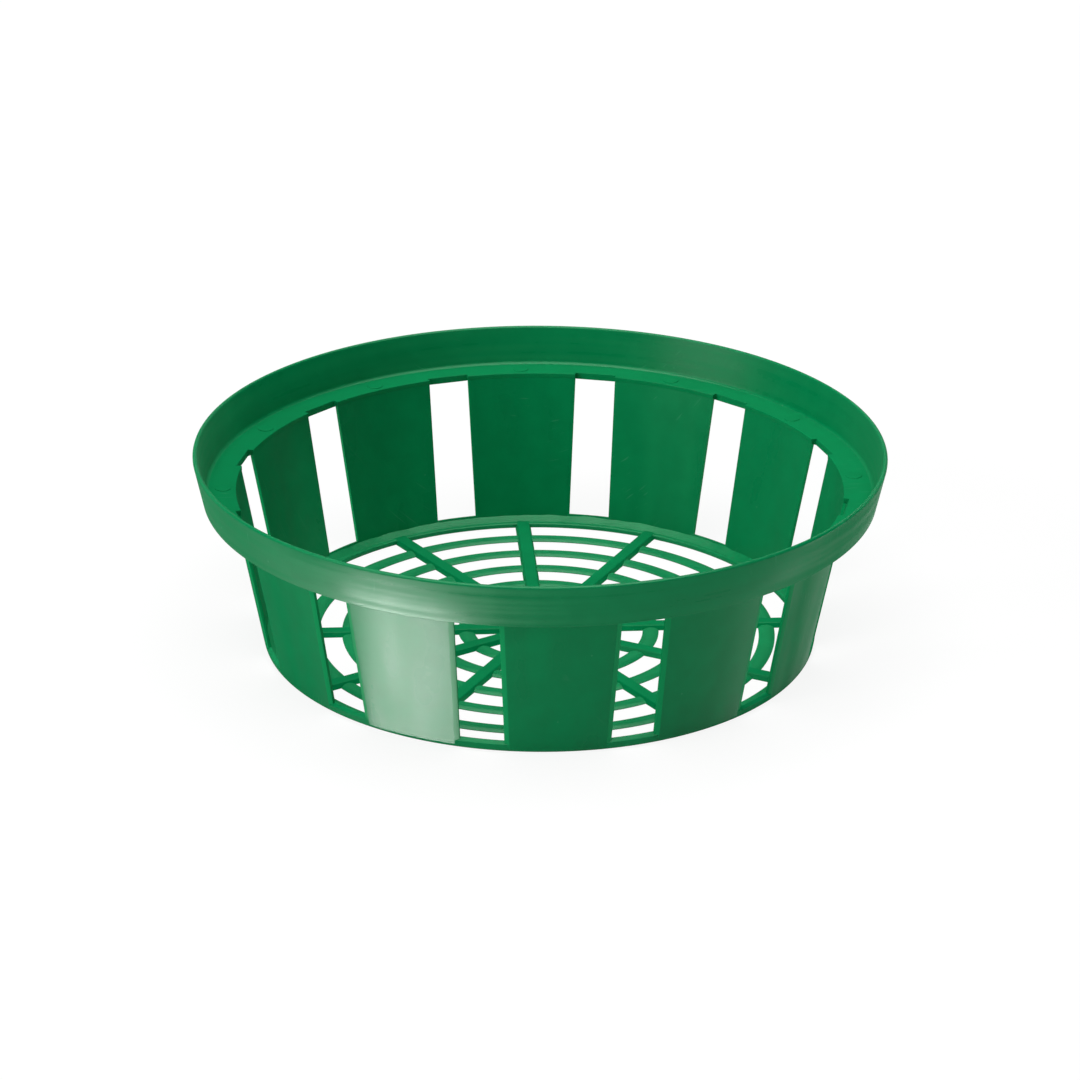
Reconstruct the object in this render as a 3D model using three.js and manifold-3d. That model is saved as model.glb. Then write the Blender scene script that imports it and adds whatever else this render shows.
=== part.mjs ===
// Bulb planting basket: a round, tapered basket of moulded green plastic.
// Twelve wall staves stand on a base ring and carry a flat ledge and an upright collar.
// The floor is a grid of concentric rings and radial spokes round a small hub.
// Millimetres, +Z up, origin on the ground at the centre of the base.

import * as THREE from 'three';
import { mergeVertices } from 'three/addons/utils/BufferGeometryUtils.js';
import Module from 'manifold-3d';

// Driving dimensions of the wall
const BASE_RADIUS = 88.6; // outside of the wall where its line meets the ground
const WALL_FLARE = 9.4; // how much wider the wall is under the ledge
const WALL_HEIGHT = 50.3; // ground to the underside of the ledge
const WALL_THICKNESS = 1.5;
const SLOT_COUNT = 12; // slots, staves and spokes go round together
const SLOT_WIDTH = 13.8;

// Driving dimensions of the rim
const LEDGE_WIDTH = 9.0; // wall to the outside of the collar's foot
const LEDGE_THICKNESS = 1.5;
const COLLAR_HEIGHT = 12.6; // above the ledge
const COLLAR_FLARE = 3.0; // how much wider the collar is at its lip than at the ledge's underside
const COLLAR_THICKNESS = 1.5;
const COLLAR_FILLET = 1.5; // inside corner between collar and ledge

// Driving dimensions of the floor
const FLANGE_HEIGHT = 1.6; // flat part of the base ring
const SILL_RISE = 1.9; // from the flange up to the kerb that the slots end on
const BASE_FLANGE = 3.9; // how far the flat part reaches in from the wall
const BASE_ROUNDING = 1.1; // outer bottom edge of the base ring
const BASE_FILLET = 1.6; // inside corner between kerb and flange
const RING_WIDTH = 5.2; // at the ground
const RING_HEIGHT = 1.0;
const RING_GAP = 7.3; // open space between two rings
const SPOKE_WIDTH = 5.3; // at the ground
const SPOKE_HEIGHT = 1.4; // spokes and hub
const BAR_DRAFT = 0.7; // how much each flank of a bar leans in over its height
const HUB_MARGIN = 2.4; // hub edge beyond the radius at which the spokes would touch

// Fits
const CLEARANCE = 0.3; // beside and at the ends of bars that cross or meet

// Facets
const ROUND_FACETS = 72; // round the axis
const HUB_FACETS = 24;
const ARC_STEPS = 3; // along a fillet or a rounded edge

// Worked-out places
const pitchAngle = (2 * Math.PI) / SLOT_COUNT;
const facetShrink = Math.cos(Math.PI / ROUND_FACETS); // middle of a facet against its corners
const wallOuter = (height) => BASE_RADIUS + (WALL_FLARE * height) / WALL_HEIGHT;
const wallInner = (height) => wallOuter(height) - WALL_THICKNESS;
const ledgeTop = WALL_HEIGHT + LEDGE_THICKNESS;
const rimTop = ledgeTop + COLLAR_HEIGHT;
const collarFoot = wallOuter(WALL_HEIGHT) + LEDGE_WIDTH;
const collarSlope = COLLAR_FLARE / (LEDGE_THICKNESS + COLLAR_HEIGHT);
const collarOuter = (height) => collarFoot + collarSlope * (height - WALL_HEIGHT);
const sillTop = FLANGE_HEIGHT + SILL_RISE;
const baseInner = wallInner(FLANGE_HEIGHT) - BASE_FLANGE;
const baseFillet = Math.min(BASE_FILLET, SILL_RISE - CLEARANCE, BASE_FLANGE - CLEARANCE);
const spokesMeet = SPOKE_WIDTH / (2 * Math.sin(pitchAngle / 2));
const hubRadius = spokesMeet + HUB_MARGIN;
const ringPitch = RING_WIDTH + RING_GAP;
const ringCount = Math.floor((baseInner - hubRadius) / ringPitch);
const ringOuter = (index) => baseInner - RING_GAP - index * ringPitch;
const lapHeight = Math.min(RING_HEIGHT, SPOKE_HEIGHT) / 2; // rings pass under the spokes at this height
const OVERSIZE = 2; // how far a cutting shape runs past what it cuts

// Solids for cutting and joining
const wasm = await Module();
wasm.setup();

function toSolid(geometry) {
  const bare = geometry.index ? geometry.toNonIndexed() : geometry.clone();
  bare.deleteAttribute('normal');
  bare.deleteAttribute('uv');
  const merged = mergeVertices(bare);
  const vertProperties = new Float32Array(merged.attributes.position.array);
  const triVerts = new Uint32Array(merged.index.array);
  return new wasm.Manifold(new wasm.Mesh({ numProp: 3, vertProperties, triVerts }));
}

function toGeometry(solid) {
  const { vertProperties, triVerts } = solid.getMesh();
  const geometry = new THREE.BufferGeometry();
  geometry.setAttribute('position', new THREE.BufferAttribute(new Float32Array(vertProperties), 3));
  geometry.setIndex(new THREE.BufferAttribute(new Uint32Array(triVerts), 1));
  geometry.computeVertexNormals();
  return geometry;
}

// A ring turned about the Z axis from a closed section of [radius, height] points, counter-clockwise
function turned(section) {
  const closed = [...section, section[0]];
  const points = closed.map(([radius, height]) => new THREE.Vector2(radius, height));
  const geometry = new THREE.LatheGeometry(points, ROUND_FACETS);
  geometry.rotateX(Math.PI / 2);
  return geometry;
}

// An upright prism over a plan of [x, y] points
function prism(plan, bottom, top) {
  const shape = new THREE.Shape(plan.map(([x, y]) => new THREE.Vector2(x, y)));
  const geometry = new THREE.ExtrudeGeometry(shape, { depth: top - bottom, bevelEnabled: false });
  geometry.translate(0, 0, bottom);
  return geometry;
}

// An upright block along the X axis, from one radius to another
function radialBlock(from, to, width, bottom, top) {
  const half = width / 2;
  return prism([[from, -half], [to, -half], [to, half], [from, half]], bottom, top);
}

// Points of a quarter arc about a centre, from one angle to another
function arc(radius, height, size, fromAngle, toAngle) {
  return Array.from({ length: ARC_STEPS + 1 }, (_, step) => {
    const angle = fromAngle + ((toAngle - fromAngle) * step) / ARC_STEPS;
    return [radius + size * Math.cos(angle), height + size * Math.sin(angle)];
  });
}

// One cut made at every slot, or at every spoke
function cutAllRound(solid, cutter, firstAngle) {
  let result = solid;
  for (let index = 0; index < SLOT_COUNT; index += 1) {
    const turnedCutter = cutter.clone().rotateZ(firstAngle + index * pitchAngle);
    result = result.subtract(toSolid(turnedCutter));
  }
  return result;
}

// Upright flared band with a rounded lip and a filleted inside foot, standing on the ledge
function collarGeometry() {
  const lipRadius = COLLAR_THICKNESS / 2;
  const lipHeight = rimTop - lipRadius;
  const collarInner = (height) => collarOuter(height) - COLLAR_THICKNESS;
  const filletTop = ledgeTop + COLLAR_FILLET;
  const fillet = arc(collarInner(filletTop) - COLLAR_FILLET, filletTop, COLLAR_FILLET, 0, -Math.PI / 2);
  const outerLip = arc(collarOuter(lipHeight) - lipRadius, lipHeight, lipRadius, 0, Math.PI / 2);
  const innerLip = arc(collarOuter(lipHeight) - lipRadius, lipHeight, lipRadius, Math.PI / 2, Math.PI);
  return turned([[collarOuter(ledgeTop), ledgeTop], ...outerLip, ...innerLip.slice(1), ...fillet]);
}

// Flat ring between wall and collar, with a notch a wall's thickness deep where each slot runs up through it
function ledgeGeometry() {
  const ring = turned([
    [wallInner(WALL_HEIGHT), WALL_HEIGHT],
    [collarFoot, WALL_HEIGHT],
    [collarOuter(ledgeTop), ledgeTop],
    [wallInner(WALL_HEIGHT), ledgeTop],
  ]);
  const notchFrom = wallInner(WALL_HEIGHT) - WALL_THICKNESS - OVERSIZE;
  const notch = radialBlock(
    notchFrom, wallOuter(WALL_HEIGHT), SLOT_WIDTH, WALL_HEIGHT - OVERSIZE, ledgeTop + OVERSIZE);
  return toGeometry(cutAllRound(toSolid(ring), notch, pitchAngle / 2));
}

// One stave of the tapered wall, centred on the X axis, with its edges parallel to the slots beside it
function staveGeometry() {
  const shell = turned([
    [wallInner(sillTop), sillTop],
    [wallOuter(sillTop), sillTop],
    [wallOuter(WALL_HEIGHT), WALL_HEIGHT],
    [wallInner(WALL_HEIGHT), WALL_HEIGHT],
  ]);
  const apex = SLOT_WIDTH / (2 * Math.sin(pitchAngle / 2));
  const reach = wallOuter(WALL_HEIGHT) + OVERSIZE;
  const farX = apex + reach * Math.cos(pitchAngle / 2);
  const farY = reach * Math.sin(pitchAngle / 2);
  const wedge = prism(
    [[apex, 0], [farX, -farY], [farX, farY]], sillTop - OVERSIZE, WALL_HEIGHT + OVERSIZE);
  return toGeometry(toSolid(shell).intersect(toSolid(wedge)));
}

// Ring under the staves: a kerb in line with the wall and a flat flange inside it,
// rounded where it meets the ground outside and filleted where the kerb meets the flange
function baseRingGeometry() {
  const groundRadius = wallOuter(BASE_ROUNDING) - BASE_ROUNDING;
  const rounding = arc(groundRadius, BASE_ROUNDING, BASE_ROUNDING, -Math.PI / 2, 0);
  const filletTop = FLANGE_HEIGHT + baseFillet;
  const fillet = arc(wallInner(filletTop) - baseFillet, filletTop, baseFillet, 0, -Math.PI / 2);
  return turned([
    [baseInner, 0], ...rounding, [wallOuter(sillTop), sillTop], [wallInner(sillTop), sillTop],
    ...fillet, [baseInner, FLANGE_HEIGHT],
  ]);
}

// One concentric bar of the floor, lowered to half where each spoke crosses over it
function floorRingGeometry(outer) {
  const inner = outer - RING_WIDTH;
  const bar = turned([
    [inner, 0], [outer, 0], [outer - BAR_DRAFT, RING_HEIGHT], [inner + BAR_DRAFT, RING_HEIGHT],
  ]);
  const pocket = radialBlock(
    inner - OVERSIZE, outer + OVERSIZE, SPOKE_WIDTH + 2 * CLEARANCE, lapHeight, RING_HEIGHT + OVERSIZE);
  return toGeometry(cutAllRound(toSolid(bar), pocket, 0));
}

// One radial bar of the floor along the X axis, hollowed underneath where it crosses over each ring
function spokeGeometry() {
  const start = hubRadius + CLEARANCE;
  const end = baseInner * facetShrink - CLEARANCE;
  const foot = SPOKE_WIDTH / 2;
  const crest = foot - BAR_DRAFT;
  const section = new THREE.Shape([
    new THREE.Vector2(-foot, 0),
    new THREE.Vector2(foot, 0),
    new THREE.Vector2(crest, SPOKE_HEIGHT),
    new THREE.Vector2(-crest, SPOKE_HEIGHT),
  ]);
  const bar = new THREE.ExtrudeGeometry(section, { depth: end - start, bevelEnabled: false });
  bar.rotateX(Math.PI / 2);
  bar.rotateZ(Math.PI / 2);
  bar.translate(start, 0, 0);
  let solid = toSolid(bar);
  for (let index = 0; index < ringCount; index += 1) {
    const outer = ringOuter(index);
    const innerAtFlank = Math.sqrt((outer - RING_WIDTH) ** 2 - foot ** 2) * facetShrink;
    const notch = radialBlock(
      innerAtFlank - CLEARANCE, outer + CLEARANCE, SPOKE_WIDTH + 2 * OVERSIZE, -OVERSIZE, lapHeight);
    solid = solid.subtract(toSolid(notch));
  }
  return toGeometry(solid);
}

// Disc where the spokes meet
function hubGeometry() {
  const disc = new THREE.CylinderGeometry(hubRadius - BAR_DRAFT, hubRadius, SPOKE_HEIGHT, HUB_FACETS);
  disc.rotateX(Math.PI / 2);
  disc.translate(0, 0, SPOKE_HEIGHT / 2);
  return disc;
}

// Semi-gloss green plastic
function greenPlastic(colour) {
  return new THREE.MeshStandardMaterial({ color: colour, roughness: 0.4, metalness: 0 });
}

const WALL_GREEN = 0x046a3e;
const RIM_GREEN = 0x06713f;
const FLOOR_GREEN = 0x00874b;

const basket = new THREE.Group();
basket.name = 'bulb_planting_basket';

function addPiece(name, geometry, colour, angle = 0) {
  const piece = new THREE.Mesh(geometry, greenPlastic(colour));
  piece.name = name;
  piece.rotation.z = angle;
  basket.add(piece);
}

const numbered = (name, index) => `${name}_${String(index + 1).padStart(2, '0')}`;

addPiece('rim_collar', collarGeometry(), RIM_GREEN);
addPiece('rim_ledge', ledgeGeometry(), RIM_GREEN);
addPiece('base_ring', baseRingGeometry(), FLOOR_GREEN);
addPiece('floor_hub', hubGeometry(), FLOOR_GREEN);

for (let index = 0; index < ringCount; index += 1) {
  addPiece(`floor_ring_${index + 1}`, floorRingGeometry(ringOuter(index)), FLOOR_GREEN);
}

const stave = staveGeometry();
const spoke = spokeGeometry();
for (let index = 0; index < SLOT_COUNT; index += 1) {
  addPiece(numbered('wall_panel', index), stave, WALL_GREEN, index * pitchAngle);
  addPiece(numbered('floor_spoke', index), spoke, FLOOR_GREEN, index * pitchAngle);
}

export default basket;
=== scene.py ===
import math

import bmesh
import bpy
from mathutils import Color, Matrix, Vector, noise


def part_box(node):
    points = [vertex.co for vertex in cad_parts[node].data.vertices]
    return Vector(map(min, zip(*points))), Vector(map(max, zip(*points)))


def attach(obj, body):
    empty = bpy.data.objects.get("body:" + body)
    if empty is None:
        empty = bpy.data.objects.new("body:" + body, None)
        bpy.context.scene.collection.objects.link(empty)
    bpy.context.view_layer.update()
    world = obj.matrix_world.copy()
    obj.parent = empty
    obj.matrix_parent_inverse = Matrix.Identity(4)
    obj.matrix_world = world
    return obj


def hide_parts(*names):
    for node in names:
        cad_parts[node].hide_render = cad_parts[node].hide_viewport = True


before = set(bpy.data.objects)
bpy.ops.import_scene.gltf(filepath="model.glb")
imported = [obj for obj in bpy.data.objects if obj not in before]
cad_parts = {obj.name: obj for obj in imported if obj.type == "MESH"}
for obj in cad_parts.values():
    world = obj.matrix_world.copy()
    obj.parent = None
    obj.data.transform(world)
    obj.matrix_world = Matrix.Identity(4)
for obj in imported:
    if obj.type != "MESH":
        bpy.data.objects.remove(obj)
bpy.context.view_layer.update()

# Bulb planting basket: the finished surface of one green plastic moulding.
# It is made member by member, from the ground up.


# Base ring: the foot of the basket, a low kerb in line with the wall and a flat flange inside it.
# It is green polypropylene, moulded in one shot with every other member, so no seam shows between them.
# The edge on the ground is rounded, and so are the sill between the staves and the flange's inner edge.

MM = 0.001
SAME_LEVEL = 0.02 * MM
SHARP_ANGLE = math.radians(38)
FOOT_ROUNDING = 1.2 * MM
SILL_CHAMFER = 1.0 * MM
RAMP_RISE = 1.3 * MM
RAMP_RUN = 2.2 * MM
RAMP_ROUNDING = 0.25 * MM
CREASE_DEPTH = 0.15 * MM
FLASH_WANDER = 0.3 * MM
FLASH_COUNT = 14
BASE_STATIONS = 720
FLANGE_ROUNDING = 0.6 * MM
EDGE_ROUNDING = 0.3 * MM
CRISP_ROUNDING = 0.1 * MM


def corners_of(node):
    """Corner points of a solid."""
    return [vertex.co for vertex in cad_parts[node].data.vertices]


def radii_at(node, height):
    """Inner and outer radius of a solid's corners at one height."""
    radii = [corner.xy.length for corner in corners_of(node) if abs(corner.z - height) < SAME_LEVEL]
    return min(radii), max(radii)


def soften(corners, steps=5):
    """Closed outline through (across, up, rounding) corners, with an arc of its rounding at each corner."""
    outline = []
    for index, (across, up, rounding) in enumerate(corners):
        corner = Vector((across, up))
        back = (Vector(corners[index - 1][:2]) - corner).normalized()
        ahead = (Vector(corners[(index + 1) % len(corners)][:2]) - corner).normalized()
        if rounding == 0:
            outline.append(corner)
            continue
        half_angle = back.angle(ahead) / 2
        inward = (back + ahead).normalized() / math.sin(half_angle)
        start = back / math.tan(half_angle) - inward
        end = ahead / math.tan(half_angle) - inward
        arc = [start.slerp(end, step / steps) for step in range(steps + 1)]
        outline += [corner + rounding * (inward + ray) for ray in arc]
    return outline


def around(angle, outline):
    """Points of a (radius, height) outline, stood up at an angle round the basket's axis."""
    return [(radius * math.cos(angle), radius * math.sin(angle), height) for radius, height in outline]


def skin(name, loops, closed):
    """Smooth piece over loops of points: joined end to start where closed, else capped at both ends."""
    sides = len(loops[0])
    spans = len(loops) if closed else len(loops) - 1
    points = [point for loop in loops for point in loop]
    faces = []
    for span in range(spans):
        near = span * sides
        far = (span + 1) % len(loops) * sides
        for side in range(sides):
            beside = (side + 1) % sides
            faces.append((near + side, near + beside, far + beside, far + side))
    if not closed:
        faces.append(tuple(range(sides)))
        faces.append(tuple(range(len(points) - sides, len(points))))
    mesh = bpy.data.meshes.new(name)
    mesh.from_pydata(points, [], faces)
    shell = bmesh.new()
    shell.from_mesh(mesh)
    bmesh.ops.recalc_face_normals(shell, faces=shell.faces)
    shell.to_mesh(mesh)
    shell.free()
    mesh.shade_smooth()
    mesh.set_sharp_from_angle(angle=SHARP_ANGLE)
    piece = bpy.data.objects.new(name, mesh)
    bpy.context.scene.collection.objects.link(piece)
    return piece


def add_node(tree, kind, inputs=(), **options):
    """New shader node with its options set and each input set or linked."""
    node = tree.nodes.new("ShaderNode" + kind)
    for option, value in options.items():
        setattr(node, option, value)
    for socket, value in inputs:
        if isinstance(value, bpy.types.NodeSocket):
            tree.links.new(value, node.inputs[socket])
        else:
            node.inputs[socket].default_value = value
    return node


def screen_colour(red, green, blue):
    """Colour as it shows on screen, 0 to 255, as the linear colour that a shader takes."""
    shown = Color((red / 255, green / 255, blue / 255))
    return [*shown.from_srgb_to_scene_linear(), 1]


def spread(tree, value, low, high):
    """Stretches a value between two bounds to run from 0 to 1, eased at both ends."""
    inputs = [("Value", value), ("From Min", low), ("From Max", high)]
    return add_node(tree, "MapRange", inputs, interpolation_type="SMOOTHSTEP").outputs["Result"]


def maths(tree, operation, first, second):
    """Result of one sum on two values."""
    return add_node(tree, "Math", [(0, first), (1, second)], operation=operation).outputs[0]


# A mix node has a set of sockets for each kind of value: these are the places of those for colours
MIX_SHARE = 0
MIX_FIRST = 6
MIX_SECOND = 7
MIX_RESULT = 2


def mixed(tree, share, first, second):
    """Colour between two colours."""
    inputs = [(MIX_SHARE, share), (MIX_FIRST, first), (MIX_SECOND, second)]
    return add_node(tree, "Mix", inputs, data_type="RGBA").outputs[MIX_RESULT]


def noise_of(tree, place, scale, detail):
    """Smooth noise over a place, about 0.5 in the middle."""
    inputs = [("Vector", place), ("Scale", scale), ("Detail", detail)]
    return add_node(tree, "TexNoise", inputs).outputs["Fac"]


# Cells of noise to a metre, for each kind of mark
BROAD_CLOUDS = 24
SMALL_CLOUDS = 150
GRAINS = 2400
PITS = 520
HANDLED_PATCHES = 34
DUST_CELLS = 210

# Bounds of the noise between which each mark fades in
BROAD_CLOUD_RANGE = (0.36, 0.64)
SMALL_CLOUD_RANGE = (0.34, 0.66)
FLOW_RANGE = (0.2, 0.8)
PIT_RANGE = (0.4, 0.66)
STROKE_RANGE = (0.74, 0.84)
HANDLED_RANGE = (0.48, 0.62)

# Sizes and directions of the marks, and how much each does to the gloss and the height
STROKE_SIZE = (30 * MM, 0.4 * MM, 5 * MM)
STROKE_TURN = (0.5, 0.9, 0.4)
SPECK_RADIUS = 0.07
SPECK_RARITY = 0.9
GLOSS_FROM_CLOUD = 0.2
GLOSS_FROM_FLOW = 0.8
NOISE_MIDDLE = 0.5
GRAIN_HEIGHT = 0.1
FLOW_HEIGHT = 0.03


def moulded_skin_group():
    """Marks on moulded green plastic: clouding, flow streaks, grain, pits, rubs and dust specks."""
    group = bpy.data.node_groups.new("moulded_skin", "ShaderNodeTree")
    for name, kind in (
            ("Deep Colour", "Color"), ("Pale Colour", "Color"), ("Rubbed Colour", "Color"),
            ("Flow Stretch", "Vector"), ("Cloud", "Float"), ("Flow", "Float"), ("Pitting", "Float"),
            ("Rub", "Float"), ("Mean Roughness", "Float"), ("Roughness Spread", "Float")):
        group.interface.new_socket(name, in_out="INPUT", socket_type="NodeSocket" + kind)
    for name, kind in (("Colour", "Color"), ("Roughness", "Float"), ("Height", "Float")):
        group.interface.new_socket(name, in_out="OUTPUT", socket_type="NodeSocket" + kind)
    given = group.nodes.new("NodeGroupInput").outputs
    place = add_node(group, "TexCoord").outputs["Object"]

    broad_cloud = spread(group, noise_of(group, place, BROAD_CLOUDS, detail=3), *BROAD_CLOUD_RANGE)
    small_cloud = spread(group, noise_of(group, place, SMALL_CLOUDS, detail=4), *SMALL_CLOUD_RANGE)
    cloud = maths(group, "DIVIDE", maths(group, "ADD", broad_cloud, small_cloud), 2)

    stretch_inputs = [(0, place), (1, given["Flow Stretch"])]
    drawn_out = add_node(group, "VectorMath", stretch_inputs, operation="MULTIPLY").outputs[0]
    flow = spread(group, noise_of(group, drawn_out, scale=1, detail=0), *FLOW_RANGE)

    grain = noise_of(group, place, GRAINS, detail=2)
    pits = spread(group, noise_of(group, place, PITS, detail=2), *PIT_RANGE)

    stroke_inputs = [("Vector", place), ("Rotation", STROKE_TURN), ("Scale", STROKE_SIZE)]
    along_stroke = add_node(group, "Mapping", stroke_inputs, vector_type="TEXTURE").outputs[0]
    strokes = spread(group, noise_of(group, along_stroke, scale=1, detail=0), *STROKE_RANGE)
    handled = spread(group, noise_of(group, place, HANDLED_PATCHES, detail=2), *HANDLED_RANGE)
    dust = add_node(group, "TexVoronoi", [("Vector", place), ("Scale", DUST_CELLS)])
    near_speck = maths(group, "LESS_THAN", dust.outputs["Distance"], SPECK_RADIUS)
    chosen = add_node(group, "SeparateColor", [("Color", dust.outputs["Color"])]).outputs["Red"]
    speck = maths(group, "MULTIPLY", near_speck, maths(group, "GREATER_THAN", chosen, SPECK_RARITY))
    marked = maths(group, "MAXIMUM", maths(group, "MULTIPLY", strokes, handled), speck)
    rubbed = maths(group, "MULTIPLY", marked, given["Rub"])

    clouded = maths(group, "MULTIPLY", cloud, given["Cloud"])
    tone = maths(group, "ADD", clouded, maths(group, "MULTIPLY", flow, given["Flow"]))
    green = mixed(group, tone, given["Deep Colour"], given["Pale Colour"])
    colour = mixed(group, rubbed, green, given["Rubbed Colour"])

    from_cloud = maths(group, "MULTIPLY", small_cloud, GLOSS_FROM_CLOUD)
    from_flow = maths(group, "MULTIPLY", flow, GLOSS_FROM_FLOW)
    uneven = maths(group, "SUBTRACT", maths(group, "ADD", from_cloud, from_flow), NOISE_MIDDLE)
    uneven = maths(group, "MULTIPLY", uneven, given["Roughness Spread"])
    roughness = maths(group, "ADD", given["Mean Roughness"], uneven)

    raised_grain = maths(group, "MULTIPLY", grain, GRAIN_HEIGHT)
    raised_flow = maths(group, "MULTIPLY", flow, FLOW_HEIGHT)
    sunk_pits = maths(group, "MULTIPLY", pits, given["Pitting"])
    height = maths(group, "SUBTRACT", maths(group, "ADD", raised_grain, raised_flow), sunk_pits)

    ends = group.nodes.new("NodeGroupOutput").inputs
    for socket, value in (("Colour", colour), ("Roughness", roughness), ("Height", height)):
        group.links.new(value, ends[socket])
    return group


moulded_skin = moulded_skin_group()

RUBBED_GREEN = screen_colour(70, 158, 112)
RELIEF_STRENGTH = 0.3
RELIEF_DEPTH = 0.08 * MM
SLANT_RANGE = (0.34, 0.7)
SLANT_DULLING = 0.55
SPECULAR_LEVEL = 0.1


def moulded_plastic(name, deep, pale, **marks_here):
    """Semi-gloss green polypropylene with its own flow and marks, duller where it is seen at a slant."""
    material = bpy.data.materials.new(name)
    material.use_nodes = True
    tree = material.node_tree
    marks = tree.nodes.new("ShaderNodeGroup")
    marks.node_tree = moulded_skin
    marks.inputs["Deep Colour"].default_value = deep
    marks.inputs["Pale Colour"].default_value = pale
    marks.inputs["Rubbed Colour"].default_value = RUBBED_GREEN
    for mark, value in marks_here.items():
        marks.inputs[mark.replace("_", " ").title()].default_value = value
    relief_inputs = [("Strength", RELIEF_STRENGTH), ("Distance", RELIEF_DEPTH),
                     ("Height", marks.outputs["Height"])]
    relief = add_node(tree, "Bump", relief_inputs)
    slant = spread(tree, add_node(tree, "LayerWeight").outputs["Facing"], *SLANT_RANGE)
    dulled = maths(tree, "MULTIPLY", slant, SLANT_DULLING)
    roughness = maths(tree, "ADD", marks.outputs["Roughness"], dulled)
    plastic = tree.nodes["Principled BSDF"]
    plastic.inputs["Specular IOR Level"].default_value = SPECULAR_LEVEL
    for socket, value in (("Base Color", marks.outputs["Colour"]), ("Roughness", roughness),
                          ("Normal", relief.outputs["Normal"])):
        tree.links.new(value, plastic.inputs[socket])
    return material


def dress(piece, finish, *nodes):
    """Gives a piece its finish and lets it stand for the solids that it covers."""
    piece.data.materials.append(finish)
    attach(piece, "root")
    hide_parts(*nodes)


sill_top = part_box("base_ring")[1][2]
base_inner = radii_at("base_ring", 0)[0]
sill_inner, sill_outer = radii_at("base_ring", sill_top)
inner_corners = [corner for corner in corners_of("base_ring") if corner.xy.length < base_inner + SAME_LEVEL]
flange_top = max(corner.z for corner in inner_corners)
stave_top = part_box("wall_panel_01")[1][2]
head_inner, head_outer = radii_at("wall_panel_01", stave_top)
wall_lean = (head_outer - sill_outer) / (stave_top - sill_top)


def wall_outer(height):
    """Radius of the wall's outer face."""
    return sill_outer + wall_lean * (height - sill_top)


def wall_inner(height):
    """Radius of the wall's inner face."""
    return sill_inner + wall_lean * (height - sill_top)


def base_outline(angle):
    """Section of the base ring at one angle; the ramp's upper edge wanders, as a worn mould leaves it."""
    spot = Vector((math.cos(angle), math.sin(angle), 0)) * FLASH_COUNT
    ramp_top = flange_top + RAMP_RISE + FLASH_WANDER * noise.noise(spot)
    return soften([
        (base_inner, 0, CRISP_ROUNDING),
        (wall_outer(0), 0, FOOT_ROUNDING),
        (wall_outer(sill_top - SILL_CHAMFER), sill_top - SILL_CHAMFER, EDGE_ROUNDING),
        (sill_outer - SILL_CHAMFER, sill_top, EDGE_ROUNDING),
        (sill_inner, sill_top, CRISP_ROUNDING),
        (wall_inner(ramp_top), ramp_top, RAMP_ROUNDING),
        (wall_inner(flange_top) - RAMP_RUN, flange_top - CREASE_DEPTH, RAMP_ROUNDING),
        (base_inner, flange_top, FLANGE_ROUNDING),
    ])


base_angles = [math.tau * station / BASE_STATIONS for station in range(BASE_STATIONS)]
base_loops = [around(angle, base_outline(angle)) for angle in base_angles]
foot_plastic = moulded_plastic(
    "foot_plastic", deep=screen_colour(0, 128, 74), pale=screen_colour(0, 142, 84),
    flow_stretch=(60, 60, 60), cloud=0.5, flow=0.4, pitting=1.2, rub=0.2,
    mean_roughness=0.36, roughness_spread=0.1)
dress(skin("moulded_base_ring", base_loops, closed=True), foot_plastic, "base_ring")


# Floor hub: the flat disc at the middle of the grid, of green polypropylene, which entered the mould here.
# The cut-off stub of the gate stands in its middle, in a shallow dish that keeps it below the disc's top.

HUB_STATIONS = 96
GATE_RADIUS = 1.4 * MM
GATE_DISH = 3.4 * MM
GATE_DEPTH = 0.5 * MM
BAR_ROUNDING = 0.45 * MM

hub_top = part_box("floor_hub")[1][2]
hub_foot = radii_at("floor_hub", 0)[1]
hub_shoulder = radii_at("floor_hub", hub_top)[1]
hub_outline = soften([
    (0, 0, 0),
    (hub_foot, 0, CRISP_ROUNDING),
    (hub_shoulder, hub_top, BAR_ROUNDING),
    (GATE_DISH, hub_top, BAR_ROUNDING),
    (GATE_DISH - GATE_DEPTH, hub_top - GATE_DEPTH, 0),
    (GATE_RADIUS, hub_top - GATE_DEPTH, 0),
    (GATE_RADIUS - CRISP_ROUNDING, hub_top - CRISP_ROUNDING, 0),
])


def stacked(outline, stations):
    """Circles through a (radius, height) outline, one above the other, without its point on the axis."""
    angles = [math.tau * station / stations for station in range(stations)]
    return [[around(angle, [point])[0] for angle in angles] for point in outline if point[0] > 0]


floor_plastic = moulded_plastic(
    "floor_plastic", deep=screen_colour(0, 126, 73), pale=screen_colour(0, 139, 82),
    flow_stretch=(60, 60, 60), cloud=0.5, flow=0.4, pitting=0.5, rub=0.2,
    mean_roughness=0.34, roughness_spread=0.08)
hub_loops = stacked(hub_outline, HUB_STATIONS)
dress(skin("moulded_floor_hub", hub_loops, closed=False), floor_plastic, "floor_hub")


# Floor rings: the round bars of the grid, low crowned strips that lie on the ground.
# Green polypropylene, one with the spokes that cross them.

TURN_STATIONS = 288
CROWN_STEPS = 8
CROWN_SIDE = 0.22 * MM


def turned(name, outline):
    """Ring-shaped piece with one (radius, height) outline all the way round."""
    stations = [math.tau * station / TURN_STATIONS for station in range(TURN_STATIONS)]
    return skin(name, [around(angle, outline) for angle in stations], closed=True)


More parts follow.
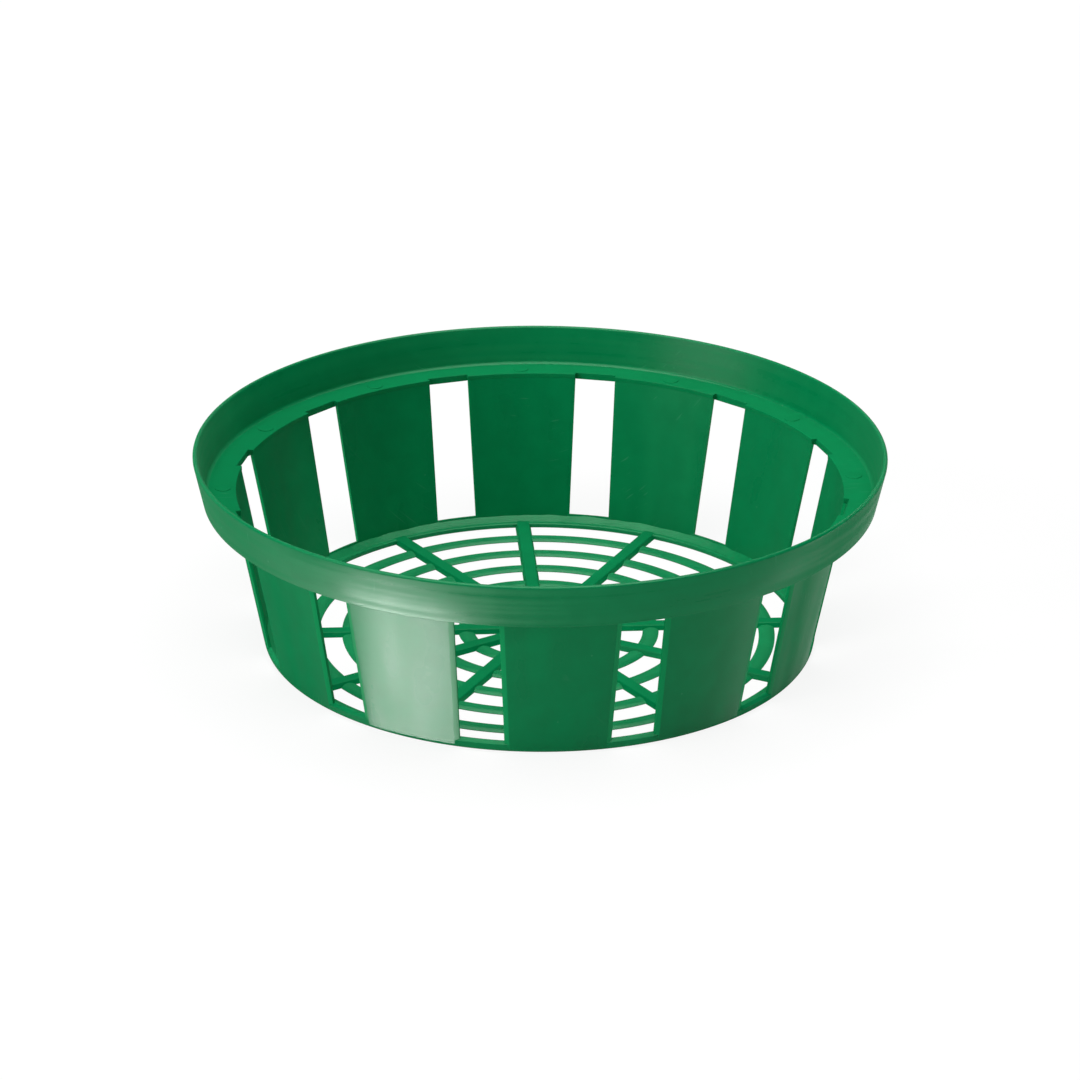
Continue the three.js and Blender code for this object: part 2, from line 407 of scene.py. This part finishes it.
def crowned(low, high, height):
    """Outline of a low bar: short upright sides and an arched top."""
    half_width = (high - low) / 2
    rise = height - CROWN_SIDE
    arch = (half_width ** 2 + rise ** 2) / (2 * rise)
    sweep = math.asin(half_width / arch)
    turns = [sweep * (1 - 2 * step / CROWN_STEPS) for step in range(CROWN_STEPS + 1)]
    top = [Vector((low + half_width + arch * math.sin(turn), height - arch + arch * math.cos(turn)))
           for turn in turns]
    return [Vector((low, 0)), Vector((high, 0))] + top


for node in sorted(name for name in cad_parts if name.startswith("floor_ring_")):
    ring_inner, ring_outer = radii_at(node, 0)
    ring_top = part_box(node)[1][2]
    dress(turned("moulded_" + node, crowned(ring_inner, ring_outer, ring_top)), floor_plastic, node)


# Floor spokes: straight bars from the hub to the base ring, one in line with each stave, over the rings.
# Green polypropylene with flat tops and rounded shoulders; both ends run into the members that carry them.

SPOKE_SINK = 2.0 * MM
SPOKE_PROUD = 0.03 * MM

spoke_nodes = sorted(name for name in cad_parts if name.startswith("floor_spoke_"))
spoke_solid_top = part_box(spoke_nodes[0])[1][2]
spoke_top = flange_top + SPOKE_PROUD
spoke_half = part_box(spoke_nodes[0])[1][1]
spoke_corners = corners_of(spoke_nodes[0])
shoulder_corners = [corner for corner in spoke_corners if corner.z > spoke_solid_top - SAME_LEVEL]
spoke_shoulder = max(corner.y for corner in shoulder_corners)
spoke_outline = soften([
    (-spoke_half, 0, 0),
    (spoke_half, 0, 0),
    (spoke_shoulder, spoke_top, BAR_ROUNDING),
    (-spoke_shoulder, spoke_top, BAR_ROUNDING),
])
spoke_ends = (hub_shoulder - SPOKE_SINK, base_inner + SPOKE_SINK)
spoke_pitch = math.tau / len(spoke_nodes)
for index, node in enumerate(spoke_nodes):
    to_place = Matrix.Rotation(index * spoke_pitch, 3, "Z")
    loops = [[to_place @ Vector((end, across, up)) for across, up in spoke_outline] for end in spoke_ends]
    dress(skin("moulded_" + node, loops, closed=False), floor_plastic, node)


# Wall staves: curved upright strips of the tapered wall, with an open slot between each pair.
# Green polypropylene; the slot edges are bevelled outside, where the mould parts, and crisp inside.
# Each stave runs down into the kerb and up into the ledge, which are one plastic with it.

STAVE_STEPS = 20
STAVE_LEVELS = 6
EDGE_REACH = 1.6 * MM
EDGE_DROP = 0.5 * MM
FOOT_SINK = 2.3 * MM
HEAD_SINK = 0.7 * MM
STAVE_PROUD = 0.02 * MM
# Painted light on the slot edges: a paler green that stands in for light shining through the thin wall
PAINTED_EDGE_GLOW = screen_colour(0, 150, 87)
EDGE_ROUGHNESS = 0.4
EDGE_FACING_RANGE = (0.976, 0.954)

stave_nodes = sorted(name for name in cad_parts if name.startswith("wall_panel_"))
stave_pitch = math.tau / len(stave_nodes)
slot_corner = max(corners_of(stave_nodes[0]), key=lambda corner: corner.y)
slot_half = slot_corner.x * math.sin(stave_pitch / 2) - slot_corner.y * math.cos(stave_pitch / 2)
wall_thickness = sill_outer - sill_inner

# Slot edge as (inset from the slot's middle, depth from the outer face), less the points that lead into it
stave_edge = soften([
    (slot_half + 2 * EDGE_REACH, 0, 0),
    (slot_half + EDGE_REACH, 0, EDGE_ROUNDING),
    (slot_half, EDGE_DROP, CRISP_ROUNDING / 2),
    (slot_half, wall_thickness, CRISP_ROUNDING / 2),
    (slot_half + 2 * EDGE_REACH, wall_thickness, 0),
], steps=3)[1:-1]


def stave_loop(height, middle):
    """Outline of a stave's section at one height: outer arc, edge, inner arc, edge."""
    outside = wall_outer(height) + STAVE_PROUD
    half_turns = [(stave_pitch / 2 - math.asin(inset / (outside - depth)), outside - depth)
                  for inset, depth in stave_edge]
    outer_turn, outer_radius = half_turns[0]
    inner_turn, inner_radius = half_turns[-1]
    inner_radius -= 2 * STAVE_PROUD
    shares = [2 * step / STAVE_STEPS - 1 for step in range(1, STAVE_STEPS)]
    loop = [(-turn, radius) for turn, radius in reversed(half_turns)]
    loop += [(share * outer_turn, outer_radius) for share in shares]
    loop += half_turns
    loop += [(-share * inner_turn, inner_radius) for share in shares]
    return [around(middle + turn, [(radius, height)])[0] for turn, radius in loop]


wall_plastic = moulded_plastic(
    "wall_plastic", deep=screen_colour(0, 125, 73), pale=screen_colour(0, 142, 84),
    flow_stretch=(150, 150, 9), cloud=0.45, flow=0.2, pitting=0.0, rub=0.35,
    mean_roughness=0.31, roughness_spread=0.12)


def dull_slot_edges_and_paint_glow(material):
    """Less glossy slot edges, with painted light: a paler green on the bevels stands in for light shining
    through the thin wall.
    """
    tree = material.node_tree
    plastic = tree.nodes["Principled BSDF"]
    place = add_node(tree, "TexCoord").outputs["Object"]
    level = add_node(tree, "VectorMath", [(0, place), (1, (1, 1, 0))], operation="MULTIPLY")
    outward = add_node(tree, "VectorMath", [(0, level.outputs[0])], operation="NORMALIZE")
    facing = add_node(tree, "NewGeometry").outputs["Normal"]
    agreement = add_node(tree, "VectorMath", [(0, facing), (1, outward.outputs[0])], operation="DOT_PRODUCT")
    facing_out = add_node(tree, "Math", [(0, agreement.outputs["Value"])], operation="ABSOLUTE").outputs[0]
    edge = spread(tree, facing_out, *EDGE_FACING_RANGE)
    body_colour = plastic.inputs["Base Color"].links[0].from_socket
    body_roughness = plastic.inputs["Roughness"].links[0].from_socket
    # Painted light: the bevels are tinted towards the paler edge green, in place of light shining through
    # the wall
    colour = mixed(tree, edge, body_colour, PAINTED_EDGE_GLOW)
    roughness = maths(tree, "MAXIMUM", body_roughness, maths(tree, "MULTIPLY", edge, EDGE_ROUGHNESS))
    tree.links.new(colour, plastic.inputs["Base Color"])
    tree.links.new(roughness, plastic.inputs["Roughness"])


dull_slot_edges_and_paint_glow(wall_plastic)
stave_foot = sill_top - FOOT_SINK
stave_rise = (stave_top + HEAD_SINK - stave_foot) / STAVE_LEVELS
stave_heights = [stave_foot + stave_rise * level for level in range(STAVE_LEVELS + 1)]
for index, node in enumerate(stave_nodes):
    loops = [stave_loop(height, index * stave_pitch) for height in stave_heights]
    dress(skin("moulded_" + node, loops, closed=False), wall_plastic, node)


# Rim ledge: the flat ring on top of the wall, which the collar stands on, of green polypropylene.
# The core pulls up through the slots, so the ledge is notched a wall's thickness deep there.
# Round witness marks of the ejector pins show on its top, one over each stave.

LEDGE_EDGE = 0.2 * MM
HEADER_DROP = 0.8 * MM
HEADER_WIDTH = 0.4 * MM
LEDGE_TUCK = 0.5 * MM
LEDGE_LIFT = 0.02 * MM
NOTCH_STEPS = 6
BETWEEN_STEPS = 18
PIN_RADIUS = 2.6 * MM
PIN_PROUD = 0.2 * MM
PIN_STATIONS = 40

ledge_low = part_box("rim_ledge")[0][2]
ledge_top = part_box("rim_ledge")[1][2]
skirt_outer = radii_at("rim_ledge", ledge_low)[1]
ledge_outer = skirt_outer - LEDGE_TUCK
ledge_inner = head_inner
notch_back = head_outer


def ledge_loop(angle, inside, root):
    """Section of the ledge at one angle, with the low header that joins it to the wall's outer face."""
    low = ledge_low + LEDGE_LIFT
    header = low - HEADER_DROP
    return around(angle, soften([
        (inside, header if inside == root else low, 0),
        (root + HEADER_WIDTH, header, 0),
        (root + HEADER_WIDTH + HEADER_DROP, low, 0),
        (ledge_outer, low, 0),
        (ledge_outer, ledge_top, 0),
        (inside, ledge_top, LEDGE_EDGE),
    ]))


notch_mouth = math.asin(slot_half / ledge_inner)
notch_corner = math.atan(slot_half / notch_back)
between_notches = stave_pitch - 2 * notch_mouth
ledge_loops = []
for slot in range(len(stave_nodes)):
    middle = (slot + 0.5) * stave_pitch
    ledge_loops.append(ledge_loop(middle - notch_mouth, ledge_inner, notch_back))
    for step in range(NOTCH_STEPS + 1):
        turn = notch_corner * (2 * step / NOTCH_STEPS - 1)
        back = notch_back / math.cos(turn)
        ledge_loops.append(ledge_loop(middle + turn, back, back))
    for step in range(BETWEEN_STEPS):
        angle = middle + notch_mouth + between_notches * step / BETWEEN_STEPS
        ledge_loops.append(ledge_loop(angle, ledge_inner, notch_back))

ledge_plastic = moulded_plastic(
    "ledge_plastic", deep=screen_colour(0, 130, 75), pale=screen_colour(0, 143, 85),
    flow_stretch=(10, 10, 600), cloud=0.4, flow=0.2, pitting=0.0, rub=0.35,
    mean_roughness=0.34, roughness_spread=0.2)
dress(skin("moulded_rim_ledge", ledge_loops, closed=True), ledge_plastic, "rim_ledge")

collar_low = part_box("rim_collar")[0][2]
collar_foot, collar_outer_low = radii_at("rim_collar", collar_low)
pin_circle = (ledge_inner + collar_foot) / 2
pin_outline = soften([
    (0, 0, 0),
    (PIN_RADIUS, -PIN_PROUD, 0),
    (PIN_RADIUS, PIN_PROUD, PIN_PROUD / 2),
    (0, PIN_PROUD / 2, 0),
])
pin_circles = stacked(pin_outline, PIN_STATIONS)
for index in range(len(stave_nodes)):
    pin_turn = Matrix.Rotation(index * stave_pitch, 4, "Z")
    pin_place = pin_turn @ Matrix.Translation((pin_circle, 0, ledge_top))
    loops = [[pin_place @ Vector(point) for point in circle] for circle in pin_circles]
    pin_mark = skin(f"pin_mark_{index + 1:02d}", loops, closed=False)
    pin_mark.data.materials.append(ledge_plastic)
    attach(pin_mark, "root")


# Rim collar: the upright flared band round the mouth, with a full-round lip, of green polypropylene.
# Its foot turns into the ledge through a fillet inside, and covers the ledge's edge outside.

FOOT_EDGE = 0.25 * MM
COLLAR_FILLET = 1.5 * MM
FILLET_TUCK = COLLAR_FILLET / 6
LIP_SHARE = 0.49

# The solid's lip is an arc with corners at four levels, and is at its full thickness at the lowest of them
LIP_LEVELS = 4

rim_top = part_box("rim_collar")[1][2]
collar_lean = (collar_outer_low - skirt_outer) / (collar_low - ledge_low)
lip_outer = skirt_outer + collar_lean * (rim_top - ledge_low)
collar_levels = sorted({round(corner.z, 6) for corner in corners_of("rim_collar")})
lip_start_inner, lip_start_outer = radii_at("rim_collar", collar_levels[-LIP_LEVELS])
collar_thickness = lip_start_outer - lip_start_inner
lip_rounding = collar_thickness * LIP_SHARE
collar_outline = soften([
    (skirt_outer, ledge_low, FOOT_EDGE),
    (lip_outer, rim_top, lip_rounding),
    (lip_outer - collar_thickness, rim_top, lip_rounding),
    (collar_outer_low - collar_thickness, ledge_top, COLLAR_FILLET),
    (collar_foot - COLLAR_FILLET, ledge_top - FILLET_TUCK, 0),
    (ledge_outer - LEDGE_TUCK, ledge_low + FOOT_EDGE, 0),
    (ledge_outer - LEDGE_TUCK, ledge_low, 0),
])
# Painted shade: the collar is the same plastic as the other pieces, with its green set a few levels darker
# to dim it.
rim_plastic = moulded_plastic(
    "rim_plastic", deep=screen_colour(0, 124, 72), pale=screen_colour(0, 137, 81),
    flow_stretch=(10, 10, 600), cloud=0.4, flow=0.2, pitting=0.0, rub=0.35,
    mean_roughness=0.34, roughness_spread=0.2)
dress(turned("moulded_rim_collar", collar_outline), rim_plastic, "rim_collar")


# Studio floor: a wide pale table under the basket, one flat sheet.
# It is seen and mirrored as white, lights the basket as pale grey does, and keeps the basket's soft shadow.

TABLE_HALF = 40.0
TABLE_DROP = 0.1 * MM
TABLE_GREY = (0.7, 0.7, 0.7, 1)
SHADOW_GREY = (0.13, 0.13, 0.13, 1)
WHITE = (1, 1, 1, 1)
TABLE_GLOW = 0.885

table_mesh = bpy.data.meshes.new("table")
table_corners = [(TABLE_HALF * x, TABLE_HALF * y) for x, y in ((-1, -1), (1, -1), (1, 1), (-1, 1))]
table_mesh.from_pydata([(x, y, -TABLE_DROP) for x, y in table_corners], [], [(0, 1, 2, 3)])
table = bpy.data.objects.new("table", table_mesh)
bpy.context.scene.collection.objects.link(table)
table_paint = bpy.data.materials.new("table_paint")
table_paint.use_nodes = True
paint = table_paint.node_tree
paint.nodes.clear()
light_path = add_node(paint, "LightPath").outputs
seen = maths(paint, "MAXIMUM", light_path["Is Camera Ray"], light_path["Is Glossy Ray"])
seen = maths(paint, "MAXIMUM", seen, light_path["Is Transmission Ray"])
pale_grey = add_node(paint, "BsdfDiffuse", [("Color", TABLE_GREY)]).outputs[0]
shaded = add_node(paint, "BsdfDiffuse", [("Color", SHADOW_GREY)]).outputs[0]
glow = add_node(paint, "Emission", [("Color", WHITE), ("Strength", TABLE_GLOW)]).outputs[0]
seen_white = add_node(paint, "AddShader", [(0, shaded), (1, glow)]).outputs[0]
table_finish = add_node(paint, "MixShader", [(0, seen), (1, pale_grey), (2, seen_white)]).outputs[0]
add_node(paint, "OutputMaterial", [("Surface", table_finish)])
table_mesh.materials.append(table_paint)


# Camera: a long lens a little left of the basket's front, above its rim and looking down at it.
# Its place and directions were fitted to the rim, the slots, the floor grid and the base in the photograph.

LENS = 125.85
SENSOR = 36.0
CAMERA_PLACE = Vector((-0.0754, -1.1065, 0.5142))
CAMERA_HEADING = math.radians(3.905)
CAMERA_DOWN = math.radians(23.514)
CAMERA_ROLL = math.radians(0.367)

camera = bpy.data.objects.new("camera", bpy.data.cameras.new("camera"))
camera.data.lens = LENS
camera.data.sensor_width = SENSOR
camera.matrix_world = (
    Matrix.Translation(CAMERA_PLACE)
    @ Matrix.Rotation(-CAMERA_HEADING, 4, "Z")
    @ Matrix.Rotation(math.pi / 2 - CAMERA_DOWN, 4, "X")
    @ Matrix.Rotation(CAMERA_ROLL, 4, "Z")
)
bpy.context.scene.collection.objects.link(camera)
bpy.context.scene.camera = camera


# Studio light: a broad lamp overhead, one for gloss alone on the base, floor rings and collar, a key from
# the left, a low fill from the right without gloss, and a low one behind for a light line on the rim.
# Lamps under the table, which lets their light through, lay a sheen on the pieces that they are turned to.

SHEEN_DISTANCE = 1.2
SHEEN_COLOUR = (0.88, 1, 0.9)
WORLD_LEVEL = 0.04


def pointing(azimuth, elevation):
    """Direction from the basket to a lamp: degrees from the camera's side to the right, and up."""
    bearing = math.radians(azimuth) - CAMERA_HEADING
    level = math.radians(elevation)
    across = math.cos(level)
    return Vector((math.sin(bearing) * across, -math.cos(bearing) * across, math.sin(level)))


def sun_lamp(name, azimuth, elevation, strength, width):
    """Even light from one side, as soft as the width of its source in degrees."""
    lamp = bpy.data.objects.new(name, bpy.data.lights.new(name, "SUN"))
    lamp.data.energy = strength
    lamp.data.angle = math.radians(width)
    lamp.rotation_euler = pointing(azimuth, elevation).to_track_quat("Z", "Y").to_euler()
    bpy.context.scene.collection.objects.link(lamp)
    return lamp


def turn_to(lamp, lit_pieces):
    """Keeps a lamp's light off all pieces but these."""
    lamp.light_linking.receiver_collection = bpy.data.collections.new(lamp.name + "_pieces")
    for piece in lit_pieces:
        lamp.light_linking.receiver_collection.objects.link(bpy.data.objects[piece])


def sheen_lamp(name, azimuth, elevation, size, power, lit_pieces):
    """Round lamp under the table that shows only as a sheen, on the pieces that it is turned to."""
    lamp = bpy.data.objects.new(name, bpy.data.lights.new(name, "AREA"))
    lamp.data.shape = "DISK"
    lamp.data.size = size
    lamp.data.energy = power
    lamp.data.color = SHEEN_COLOUR
    lamp.data.cycles.use_multiple_importance_sampling = False
    lamp.location = pointing(azimuth, elevation) * SHEEN_DISTANCE
    lamp.rotation_euler = pointing(azimuth, elevation).to_track_quat("Z", "Y").to_euler()
    lamp.visible_diffuse = False
    turn_to(lamp, lit_pieces)
    bpy.context.scene.collection.objects.link(lamp)


sun_lamp("overhead_lamp", azimuth=0, elevation=87, strength=2.5, width=60)
overhead_gloss = sun_lamp("overhead_gloss", azimuth=0, elevation=75, strength=7.0, width=80)
overhead_gloss.visible_diffuse = False
sun_lamp("left_lamp", azimuth=-60, elevation=18, strength=1.6, width=36)
right_fill = sun_lamp("right_fill", azimuth=98, elevation=3, strength=0.5, width=6)
right_fill.visible_glossy = False
rim_gloss = sun_lamp("rim_gloss", azimuth=176, elevation=10, strength=1.3, width=40)
rim_gloss.visible_diffuse = False
rim_collar = "moulded_rim_collar"
turn_to(rim_gloss, [rim_collar])
floor_rings = ["moulded_" + name for name in sorted(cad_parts) if name.startswith("floor_ring_")]
turn_to(overhead_gloss, ["moulded_base_ring", rim_collar, *floor_rings])

table.visible_shadow = False
front_left_stave = "moulded_wall_panel_09"
right_pieces = ["moulded_wall_panel_11", "moulded_wall_panel_12", rim_collar]
sheen_lamp("stave_sheen", azimuth=-54, elevation=-47, size=0.8, power=58, lit_pieces=[front_left_stave])
sheen_lamp("edge_sheen", azimuth=-8, elevation=-46, size=0.7, power=43, lit_pieces=[front_left_stave])
sheen_lamp("collar_sheen", azimuth=-55, elevation=-49, size=0.65, power=46, lit_pieces=[rim_collar])
sheen_lamp("right_sheen", azimuth=140, elevation=-33, size=1.0, power=13, lit_pieces=right_pieces)

studio = bpy.data.worlds.new("studio")
studio.use_nodes = True
backdrop = studio.node_tree.nodes["Background"]
backdrop.inputs["Color"].default_value = WHITE
backdrop.inputs["Strength"].default_value = WORLD_LEVEL
bpy.context.scene.world = studio
bpy.context.scene.view_settings.view_transform = "Standard"
